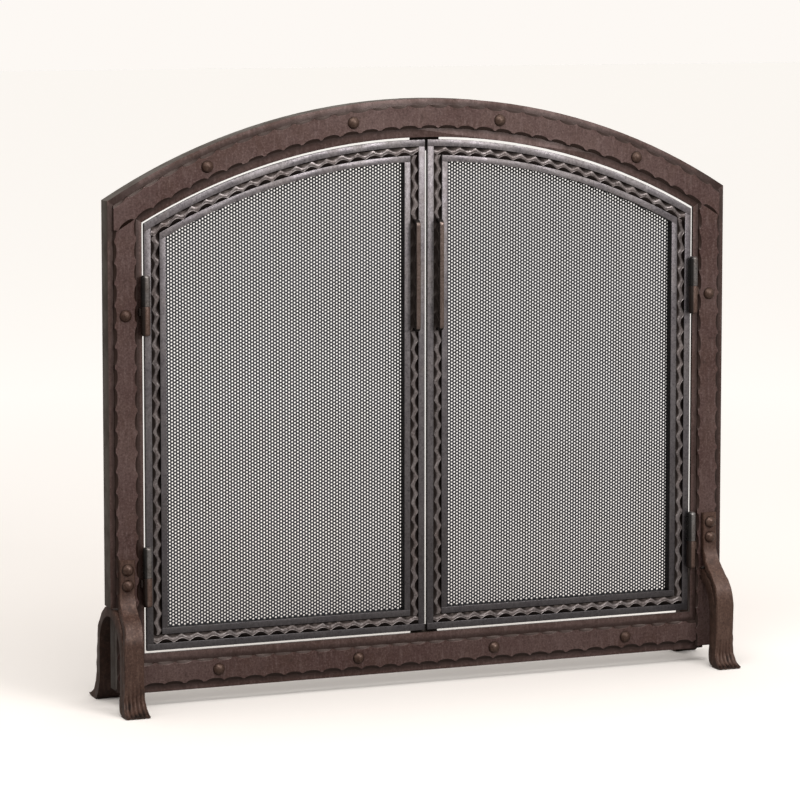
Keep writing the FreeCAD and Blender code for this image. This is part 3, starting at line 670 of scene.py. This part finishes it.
for side, sign in (("left", -1), ("right", 1)):
    low, high = in_mm(side + "_mesh")
    near_x, far_x = sorted((abs(low[0]), abs(high[0])))
    outer_r = math.hypot(near_x, high[2] - door_centre_z)
    hidden = 4.0
    margin = 8.0
    columns = int((far_x - near_x - 2 * hidden) / row_step) + 1
    halves = {"near": [], "far": []}
    for i in range(columns):
        x = near_x + hidden + i * row_step
        top = door_centre_z + math.sqrt((outer_r - hidden) ** 2 - x ** 2)
        z = low[2] + hidden + (i % 2) * pitch / 2
        while z < top:
            halves["near" if i < columns / 2 else "far"].append((x * sign * MM, 0.0, z * MM))
            z += pitch
    for half, places in halves.items():
        base = bpy.data.meshes.new("places")
        base.from_pydata(places, [], [])
        name = "%s_sheet_%s" % (side, half)
        piece = run_tree(name, base, perforated, {"Cell": cell, "Material": sheet_black})
        form = bmesh.new()
        form.from_mesh(piece.data)
        sheet_front = low[1] + skin
        for vert in form.verts:
            vert.co.y = sheet_front * MM
        bmesh.ops.recalc_face_normals(form, faces=form.faces)
        if form.faces and sum(f.normal.y for f in form.faces) > 0:
            bmesh.ops.reverse_faces(form, faces=form.faces)
        form.to_mesh(piece.data)
        form.free()
        thicken = piece.modifiers.new("gauge", "SOLIDIFY")
        thicken.thickness = (high[1] - low[1] - 2 * skin) * MM
        thicken.offset = -1.0
        bpy.context.view_layer.update()
        solid = bpy.data.meshes.new_from_object(piece.evaluated_get(bpy.context.evaluated_depsgraph_get()))
        piece.modifiers.clear()
        piece.data = solid
        finished(piece, sheet_black, side + "_door", "mesh_black", side + "_mesh")
    inner_low_z = low[2] + margin
    outline = []
    inline = []
    for t in np.linspace(0, 1, 40):
        x = near_x + (far_x - near_x) * t
        outline.append((x, door_centre_z + math.sqrt(outer_r ** 2 - x ** 2)))
        x = near_x + margin + (far_x - near_x - 2 * margin) * t
        inline.append((x, door_centre_z + math.sqrt((outer_r - margin) ** 2 - x ** 2)))
    outline = [(near_x, low[2])] + outline + [(far_x, low[2])]
    inline = [(near_x + margin, inner_low_z)] + inline + [(far_x - margin, inner_low_z)]
    rings = [[(sign * a[0], low[1], a[1]), (sign * b[0], low[1], b[1]), (sign * b[0], high[1], b[1]),
              (sign * a[0], high[1], a[1])] for a, b in zip(outline, inline)]
    rings = np.array(rings + rings[:1])
    verts = rings[:-1].reshape(-1, 3) * MM
    total = len(rings) - 1
    faces = [(4 * i + j, 4 * i + (j + 1) % 4, 4 * ((i + 1) % total) + (j + 1) % 4, 4 * ((i + 1) % total) + j)
             for i in range(total) for j in range(4)]
    piece = plain_mesh(side + "_sheet_margin", verts, faces)
    form = bmesh.new()
    form.from_mesh(piece.data)
    if form.calc_volume(signed=True) < 0:
        bmesh.ops.reverse_faces(form, faces=form.faces)
    form.to_mesh(piece.data)
    form.free()
    finished(piece, sheet_black, side + "_door", "mesh_black", side + "_mesh")
bpy.data.objects.remove(cell)


# ---- Rivets.
# Round-head rivets, closed with a few hammer blows, so the domes are slightly faceted and none is quite alike.
# Their heads are rubbed bright on top.
rivet_patina = iron_finish("rivet_patina", deep=(0.014, 0.007, 0.005), body=(0.060, 0.029, 0.020),
                           warm=(0.054, 0.025, 0.016), bright=(0.17, 0.115, 0.09), roughness=0.36, metallic=0.5,
                           rub_attribute=True)


def rivet_mesh(name, radius, height, rng):
    """One head as a closed dome with a low skirt, its middle at the origin and its seat at Y 0."""
    ball = (radius ** 2 + height ** 2) / (2 * height)
    spread = math.asin(min(1.0, radius / ball))
    around = 24
    levels = 9
    shift = Vector((rng.uniform(-40, 40), rng.uniform(-40, 40), rng.uniform(-40, 40)))
    verts = []
    rub = []
    for i in range(levels):
        a = spread * (1 - i / levels)
        for j in range(around):
            b = 2 * math.pi * j / around
            x, z = ball * math.sin(a) * math.cos(b), ball * math.sin(a) * math.sin(b)
            rise = ball * math.cos(a) - (ball - height)
            dent = 0.22 * max(0.0, noise.noise(Vector((x, rise * 2, z)) * 0.22 + shift)) * (1 if i else 0)
            verts.append((x * (1 - dent * 0.06), -(rise - dent), z * (1 - dent * 0.06)))
            rub.append(0.35 + 0.6 * rise / height)
    verts.append((0, -height + 0.05, 0))
    rub.append(1.0)
    seat = 0.9
    sunk = [(x, seat, z) for x, _, z in verts[:around]]
    base_at = len(verts)
    verts += sunk
    rub += [0.1] * around
    faces = []
    for i in range(levels - 1):
        low, high = i * around, (i + 1) * around
        faces += [(low + j, low + (j + 1) % around, high + (j + 1) % around, high + j) for j in range(around)]
    top, last = levels * around, (levels - 1) * around
    faces += [(last + j, last + (j + 1) % around, top) for j in range(around)]
    faces += [(base_at + j, base_at + (j + 1) % around, (j + 1) % around, j) for j in range(around)]
    faces.append(tuple(base_at + j for j in reversed(range(around))))
    mesh = bpy.data.meshes.new(name)
    mesh.from_pydata([tuple(c * MM for c in v) for v in verts], [], faces)
    worn = mesh.attributes.new("rub", "FLOAT", "POINT")
    worn.data.foreach_set("value", rub)
    form = bmesh.new()
    form.from_mesh(mesh)
    if form.calc_volume(signed=True) < 0:
        bmesh.ops.reverse_faces(form, faces=form.faces)
    form.to_mesh(mesh)
    form.free()
    mesh.polygons.foreach_set("use_smooth", [True] * len(mesh.polygons))
    return bpy.data.objects.new(name, mesh)


riveted = bpy.data.node_groups.new("riveted", "GeometryNodeTree")
given, made = tree_inputs(riveted, [("Places", "NodeSocketGeometry"), ("Heads", "NodeSocketCollection"),
                                    ("Seed", "NodeSocketInt"), ("Material", "NodeSocketMaterial")])
heads_info = riveted.nodes.new("GeometryNodeCollectionInfo")
heads_info.inputs["Separate Children"].default_value = True
riveted.links.new(given.outputs["Heads"], heads_info.inputs["Collection"])
turned = riveted.nodes.new("FunctionNodeRandomValue")
turned.data_type = "FLOAT_VECTOR"
turned.inputs[0].default_value = (0, 0, 0)
full_turn = 6.283
turned.inputs[1].default_value = (0, full_turn, 0)
riveted.links.new(given.outputs["Seed"], turned.inputs["Seed"])
placed = riveted.nodes.new("GeometryNodeInstanceOnPoints")
placed.inputs["Pick Instance"].default_value = True
riveted.links.new(given.outputs["Places"], placed.inputs["Points"])
riveted.links.new(heads_info.outputs[0], placed.inputs["Instance"])
riveted.links.new(turned.outputs[0], placed.inputs["Rotation"])
real = riveted.nodes.new("GeometryNodeRealizeInstances")
riveted.links.new(placed.outputs["Instances"], real.inputs["Geometry"])
finish = riveted.nodes.new("GeometryNodeSetMaterial")
riveted.links.new(real.outputs["Geometry"], finish.inputs["Geometry"])
riveted.links.new(given.outputs["Material"], finish.inputs["Material"])
riveted.links.new(finish.outputs["Geometry"], made.inputs["Geometry"])

rivet_rng = random.Random(41)
head_r, head_high = 9.0, 6.8
heads = bpy.data.collections.new("rivet_heads")
for i in range(4):
    heads.objects.link(rivet_mesh("rivet_head_%d" % i, head_r, head_high, rivet_rng))
arch_mid_r = (arch_strap_outer + arch_strap_inner) / 2
arch_pitch = 14.8
arch_turns = [math.radians(step * arch_pitch) for step in (-1.5, -0.5, 0.5, 1.5)]
side_box = in_mm("side_rivets")
bottom_box = in_mm("bottom_rivets")
leg_box = in_mm("leg_rivets")
strap_face = strap_low[1]
leg_strap = 7.0
leg_face = strap_face - leg_strap
tab_rivet_drop, tab_rivet_pitch = 14.0, 22.8
bottom_span = bottom_box[1][0] - head_r
bottom_z = (bottom_box[0][2] + bottom_box[1][2]) / 2
side_z = (side_box[0][2] + side_box[1][2]) / 2
rivet_places = {
    "arch_rivets": [(arch_mid_r * math.sin(a), strap_face, arch_centre_z + arch_mid_r * math.cos(a))
                    for a in arch_turns],
    "bottom_rivets": [(bottom_span * f, strap_face, bottom_z) for f in (-1, -1 / 3, 1 / 3, 1)],
    "side_rivets": [(f * (side_box[1][0] - head_r), strap_face, side_z) for f in (-1, 1)],
    "leg_rivets": [(f * (leg_box[1][0] - head_r), leg_face, z) for f, top in
                   ((1, leg_box[1][2] - head_r), (-1, in_mm("left_front_leg")[1][2] - tab_rivet_drop))
                   for z in (top, top - tab_rivet_pitch)]}
for i, (node, places) in enumerate(rivet_places.items()):
    base = bpy.data.meshes.new("places")
    base.from_pydata([tuple(c * MM for c in p) for p in places], [], [])
    piece = run_tree(node + "_hammered", base, riveted, {"Heads": heads, "Seed": 50 + i, "Material": rivet_patina})
    finished(piece, rivet_patina, "frame", "rivet_iron", node)


# ---- Front legs and yokes.
# Each leg is two forged bars. The front one has a tab riveted over the strap, steps forward, drops as a shin
# and sweeps out into a fluted toe. The yoke is bent over the frame and its rear foot is the same toe. Both
# have edges drawn down by the hammer, rubbed light where they stand proud.
leg_patina = iron_finish("leg_patina", deep=(0.018, 0.009, 0.006), body=(0.056, 0.025, 0.017),
                         warm=(0.054, 0.021, 0.012), bright=(0.17, 0.105, 0.08), roughness=0.52, metallic=0.3,
                         rub_attribute=True)


toe_thick = 5.5
toe_half, tab_half = 18.0, 12.0
flare_height = 34.0
shin_top = 97.8
tab_length = 46.0
tab_step_in = 4.5


def leg_across(z, top):
    """Middle and half width of a leg bar: wider below the ankle, narrower and further in at the tab."""
    if z < toe_thick:
        return 0.0, toe_half
    if z < flare_height:
        return 0.0, toe_half - (toe_half - leg_half) * (z - toe_thick) / (flare_height - toe_thick)
    if z <= shin_top:
        return 0.0, leg_half
    t = min(1.0, (z - shin_top) / (top - tab_length - shin_top))
    return -tab_step_in * t, leg_half - (leg_half - tab_half) * t


def forged_bar(name, pairs, top, sign, seed, flute_from, tip):
    """A bar through pairs of points, outer face and inner face, seen from the side; flutes grow below a height
    towards its tip, where they end in rounded toes."""
    flutes = 5
    columns = flutes * 6
    toe_reach, toe_bite, toe_lift = 1.6, 3.4, 2.0
    waver = 0.085
    toe_dark_height = 9.0
    rings = []
    rub = []
    travelled = 0.0
    before = None
    backwards = 1.0 if pairs[-1][0][0] < pairs[0][0][0] else -1.0
    for outer, inner in pairs:
        outer, inner = np.array(outer), np.array(inner)
        if before is not None:
            travelled += np.linalg.norm(outer - before)
        before = outer
        through = outer - inner
        thick = np.linalg.norm(through)
        through = through / max(thick, 1e-6)
        (shift, half_outer), (shift_in, half_inner) = leg_across(outer[1], top), leg_across(inner[1], top)
        grow = min(1.0, max(0.0, (flute_from - outer[1]) / flute_from)) if tip(outer) else 0.0
        at_tip = max(0.0, 1 - (outer[1] - toe_thick) / toe_reach) if grow else 0.0
        inner = inner + np.array((backwards * toe_reach * at_tip, 0.0))
        wave_l = 1.0 + 1.5 * noise.noise(Vector((travelled * waver, seed, 0.3)))
        wave_r = 1.0 + 1.5 * noise.noise(Vector((travelled * waver, seed, 9.3)))
        left, right = shift - half_outer + abs(wave_l) * 0.5, shift + half_outer - abs(wave_r) * 0.5
        ring = [(left, *(outer - through * (1.3 + 0.6 * wave_l)))]
        worn = [0.5]
        for c in range(columns + 1):
            t = c / columns
            edge_in = 0.8 + 0.7 * abs(wave_l if t < 0.5 else wave_r)
            x = left + edge_in + (right - left - 2 * edge_in) * t
            groove = 0.5 - 0.5 * math.cos(2 * math.pi * flutes * t)
            lump = noise.noise(Vector((x * 0.13, travelled * 0.09, seed * 1.3)))
            sink = 0.10 + 0.35 * max(0.0, lump) + (grow ** 0.7) * 3.0 * (1 - groove ** 0.6)
            sink = min(sink, thick * 0.55)
            spot = outer - through * sink
            spot[0] += backwards * toe_bite * at_tip * (1 - groove)
            ring.append((x, *spot))
            edge_light = 0.25 if c in (0, columns) else 0.0
            # Each toe is painted darker below this height, near the floor.
            tip_dark = 0.5 * max(0.0, (toe_dark_height - outer[1]) / toe_dark_height) if grow else 0.0
            worn.append(0.70 + 0.3 * lump + edge_light - grow * 0.36 * (1 - groove) - tip_dark)
        ring.append((right, *(outer - through * (1.3 + 0.6 * wave_r))))
        worn.append(0.5)
        for c in range(columns, -1, -2):
            between = 0.5 + 0.5 * math.cos(2 * math.pi * flutes * c / columns)
            x = shift_in + half_inner * (2 * c / columns - 1)
            ring.append((x, *(inner + through * (toe_lift * at_tip * between))))
            worn.append(0.45)
        rings.append([(sign * (leg_mid_x + x), y, z) for x, y, z in ring])
        rub.append(worn)
    return made_mesh(name, np.array(rings), np.array(rub), crease=40.0)


outer_yoke, inner_yoke = 66.0, 50.5
yoke_crown = 14.5
front_sweep, rear_sweep = 19.0, 24.5
rear_spread = 6.0
heel_height = 25.0
yoke_y = yoke_high[1] - rear_sweep - rear_spread - outer_yoke
tab_y = strap_face - leg_strap / 2
shin_y = yoke_y - outer_yoke - leg_strap / 2


def leg_pairs(top):
    """A front bar from the top of its tab to its toe."""
    half = leg_strap / 2
    foot = top - tab_length
    pairs = [((tab_y - half, z), (tab_y + half, z)) for z in np.linspace(top, foot, 14)]
    step, drop = tab_y - shin_y, foot - shin_top
    radius = (step ** 2 + drop ** 2) / (4 * step)
    turn = math.asin(drop / 2 / radius)
    for a in np.linspace(0, turn, 12)[1:]:
        pairs.append(tuple((tab_y - radius + (radius + o) * math.cos(a), foot - (radius + o) * math.sin(a))
                           for o in (-half, half)))
    for a in np.linspace(turn, 0, 12)[1:]:
        pairs.append(tuple((shin_y + radius - (radius - o) * math.cos(a), shin_top + (radius - o) * math.sin(a))
                           for o in (-half, half)))
    front, back = shin_y - half, shin_y + half
    ankle = toe_thick + front_sweep
    pairs += [((front, z), (back, z)) for z in np.linspace(shin_top, ankle, 34)[1:]]
    toe_y = front - front_sweep
    for i, a in enumerate(np.linspace(0, math.pi / 2, 19)[1:]):
        t = 2 * (i + 1) / 18
        inner = (back, ankle * (1 - t)) if t < 1 else (back + (toe_y - back) * (t - 1), 0.0)
        pairs.append(((toe_y + front_sweep * math.cos(a), ankle - front_sweep * math.sin(a)), inner))
    return pairs


def yoke_pairs():
    """A yoke from the foot of its front limb, over the frame, to its rear toe."""
    heel = inner_yoke + (outer_yoke - inner_yoke) * 0.9
    spring_out = yoke_top - outer_yoke
    spring_in = yoke_top - yoke_crown - inner_yoke
    limb_low = toe_thick / 2
    pairs = []
    for a in np.linspace(math.pi / 2, 0, 8):
        inner = (-heel + (heel - inner_yoke) * math.cos(a), heel_height - (heel_height - limb_low) * math.sin(a))
        pairs.append(((-outer_yoke, inner[1]), inner))
    for t in np.linspace(0, 1, 14)[1:]:
        pairs.append(((-outer_yoke, heel_height + (spring_out - heel_height) * t),
                      (-inner_yoke, heel_height + (spring_in - heel_height) * t)))
    for a in np.linspace(0, math.pi, 49)[1:]:
        pairs.append(((-outer_yoke * math.cos(a), spring_out + outer_yoke * math.sin(a)),
                      (-inner_yoke * math.cos(a), spring_in + inner_yoke * math.sin(a))))
    ankle = toe_thick + rear_sweep
    for t in np.linspace(0, 1, 16)[1:]:
        pairs.append(((outer_yoke + rear_spread * t, spring_out + (ankle - spring_out) * t),
                      (inner_yoke, spring_in + (heel_height - spring_in) * t)))
    toe_y = outer_yoke + rear_spread + rear_sweep
    for i, a in enumerate(np.linspace(0, math.pi / 2, 19)[1:]):
        t = 2 * (i + 1) / 18
        if t < 1:
            b = t * math.pi / 2
            inner = (heel - (heel - inner_yoke) * math.cos(b), heel_height - heel_height * math.sin(b))
        else:
            inner = (heel + (toe_y - heel) * (t - 1), 0.0)
        pairs.append(((toe_y - rear_sweep * math.cos(a), ankle - rear_sweep * math.sin(a)), inner))
    return [((yoke_y + o[0], o[1]), (yoke_y + i[0], i[1])) for o, i in pairs]


front_flutes, rear_flutes = 50.0, 44.0
no_tab = 1e6
for side, sign in (("left", -1), ("right", 1)):
    top = in_mm(side + "_front_leg")[1][2]
    piece = forged_bar(side + "_front_leg_forged", leg_pairs(top), top, sign, 60 + sign, front_flutes,
                       lambda outer: outer[1] < front_flutes)
    finished(piece, leg_patina, "frame", "leg_iron", side + "_front_leg")
    piece = forged_bar(side + "_yoke_forged", yoke_pairs(), no_tab, sign, 70 + sign, rear_flutes,
                       lambda outer: outer[0] > 0 and outer[1] < rear_flutes)
    finished(piece, leg_patina, "frame", "leg_iron", side + "_leg_yoke")


# ---- Handles.
# A flat bar bent into a bow and welded to the twisted bar of each meeting stile; its front is rubbed by hands,
# and its sides are painted near black as painted shade.
handle_patina = iron_finish("handle_patina", deep=(0.012, 0.009, 0.007), body=(0.115, 0.080, 0.068),
                            warm=(0.095, 0.064, 0.052), bright=(0.24, 0.19, 0.17), roughness=0.36, metallic=0.6,
                            sides=(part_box("left_handle")[0].y + 0.0012, (0.016, 0.012, 0.010)))
for side in ("left", "right"):
    softened(side + "_handle", handle_patina, 0.9)


# ---- Hinges.
# Lift-off barrel hinges, turned and welded on: the frame's lower half holds the pin and is brown, the door's
# upper half drops over it and is grey.
barrel_x = abs(frame["record"]["behaviour"]["joints"][0]["pos_m"][0])


def barrel_side_shade(nodes, links, coords):
    """From 0 to 1: painted shade, every barrel dark on the one side, away from the light."""
    split = nodes.new("ShaderNodeSeparateXYZ")
    links.new(coords, split.inputs[0])
    x = split.outputs["X"]
    beyond = math_node(nodes, links, "SUBTRACT", math_node(nodes, links, "ABSOLUTE", x), barrel_x)
    beyond = math_node(nodes, links, "MULTIPLY", beyond, math_node(nodes, links, "SIGN", x))
    return math_node(nodes, links, "MULTIPLY", ramp(nodes, links, beyond, -0.0008, -0.0036), 0.9)


# Both barrel finishes carry painted shade on one side of each barrel.
hinge_brown = iron_finish("hinge_brown", deep=(0.008, 0.005, 0.004), body=(0.115, 0.070, 0.055),
                          warm=(0.10, 0.055, 0.040), bright=(0.20, 0.15, 0.13), roughness=0.38, metallic=0.5,
                          painted_shade=barrel_side_shade)
hinge_grey = iron_finish("hinge_grey", deep=(0.006, 0.006, 0.006), body=(0.21, 0.20, 0.20),
                         warm=(0.12, 0.10, 0.09), bright=(0.30, 0.28, 0.27), roughness=0.33, metallic=0.7,
                         painted_shade=barrel_side_shade)
pin_bright = iron_finish("pin_bright", deep=(0.12, 0.11, 0.10), body=(0.35, 0.34, 0.33), warm=(0.30, 0.28, 0.26),
                         bright=(0.55, 0.53, 0.51), roughness=0.25, metallic=1.0)
for side in ("left", "right"):
    for level in ("lower", "upper"):
        softened("%s_%s_frame_hinge" % (side, level), hinge_brown, 0.4)
    softened(side + "_door_hinges", hinge_grey, 0.4)
softened("hinge_pins", pin_bright, 0.4)
